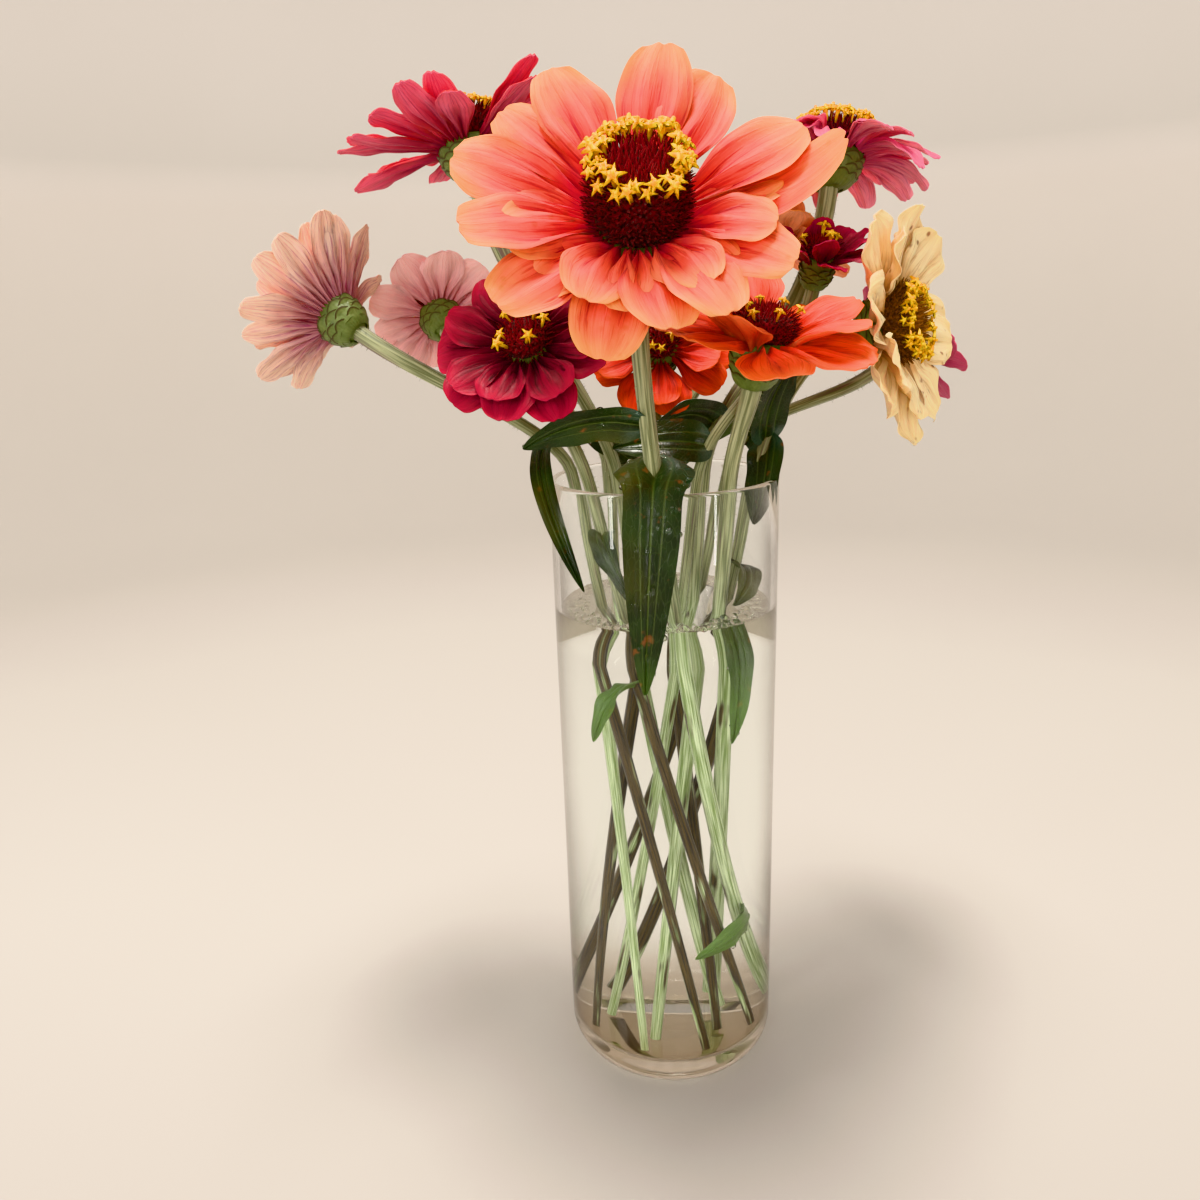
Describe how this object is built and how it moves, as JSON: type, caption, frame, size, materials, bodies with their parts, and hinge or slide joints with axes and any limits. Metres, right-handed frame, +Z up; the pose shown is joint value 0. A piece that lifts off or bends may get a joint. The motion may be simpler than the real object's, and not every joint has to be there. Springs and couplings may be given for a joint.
{
  "type": "zinnia bouquet in a glass vase",
  "caption": "Bouquet of cut zinnias in mixed warm colours, standing in a tall clear glass cylinder vase partly filled with water.",
  "frame": {"origin": "centre of the vase's flat underside, where it stands", "axes": "+Z up along the vase's own axis, -Y towards the front of the bouquet, +X to the right seen from the front"},
  "size_m": [0.2412, 0.1584, 0.3416],
  "materials": {
    "clear_glass": "clear soda glass, thick foot, fire-polished lip",
    "water": "clear still water, standing in for itself as a clear solid",
    "coral_petals": "soft satin petal with fine veins along it, coral",
    "crimson_petals": "soft satin petal with fine veins along it, crimson",
    "orange_petals": "soft satin petal with fine veins along it, orange",
    "vermilion_petals": "soft satin petal with fine veins along it, vermilion",
    "red_petals": "soft satin petal with fine veins along it, red",
    "peach_petals": "soft satin petal with fine veins along it, peach",
    "pink_petals": "soft satin petal with fine veins along it, pink",
    "cream_petals": "soft satin petal with fine veins along it, cream",
    "magenta_petals": "soft satin petal with fine veins along it, magenta",
    "apricot_petals": "soft satin petal with fine veins along it, apricot",
    "garnet_petals": "soft satin petal with fine veins along it, garnet",
    "plum_petals": "soft satin petal with fine veins along it, plum",
    "disc": "dark red-brown chaffy bracts, matte",
    "florets": "golden yellow florets, matte",
    "green": "fresh green stem, cup and leaves, finely hairy"
  },
  "bodies": {
    "root": {"vase": "clear_glass", "water": "water", "coral_petals": "coral_petals", "coral_disc": "disc", "coral_florets": "florets", "coral_stem": "green", "crimson_petals": "crimson_petals", "crimson_disc": "disc", "crimson_florets": "florets", "crimson_stem": "green", "orange_petals": "orange_petals", "orange_disc": "disc", "orange_florets": "florets", "orange_stem": "green", "vermilion_petals": "vermilion_petals", "vermilion_disc": "disc", "vermilion_florets": "florets", "vermilion_stem": "green", "red_petals": "red_petals", "red_disc": "disc", "red_florets": "florets", "red_stem": "green", "peach_petals": "peach_petals", "peach_disc": "disc", "peach_florets": "florets", "peach_stem": "green", "pink_petals": "pink_petals", "pink_disc": "disc", "pink_florets": "florets", "pink_stem": "green", "cream_petals": "cream_petals", "cream_disc": "disc", "cream_florets": "florets", "cream_stem": "green", "magenta_petals": "magenta_petals", "magenta_disc": "disc", "magenta_florets": "florets", "magenta_stem": "green", "apricot_petals": "apricot_petals", "apricot_disc": "disc", "apricot_florets": "florets", "apricot_stem": "green", "garnet_petals": "garnet_petals", "garnet_disc": "disc", "garnet_florets": "florets", "garnet_stem": "green", "plum_petals": "plum_petals", "plum_disc": "disc", "plum_florets": "florets", "plum_stem": "green"}
  },
  "joints": []
}
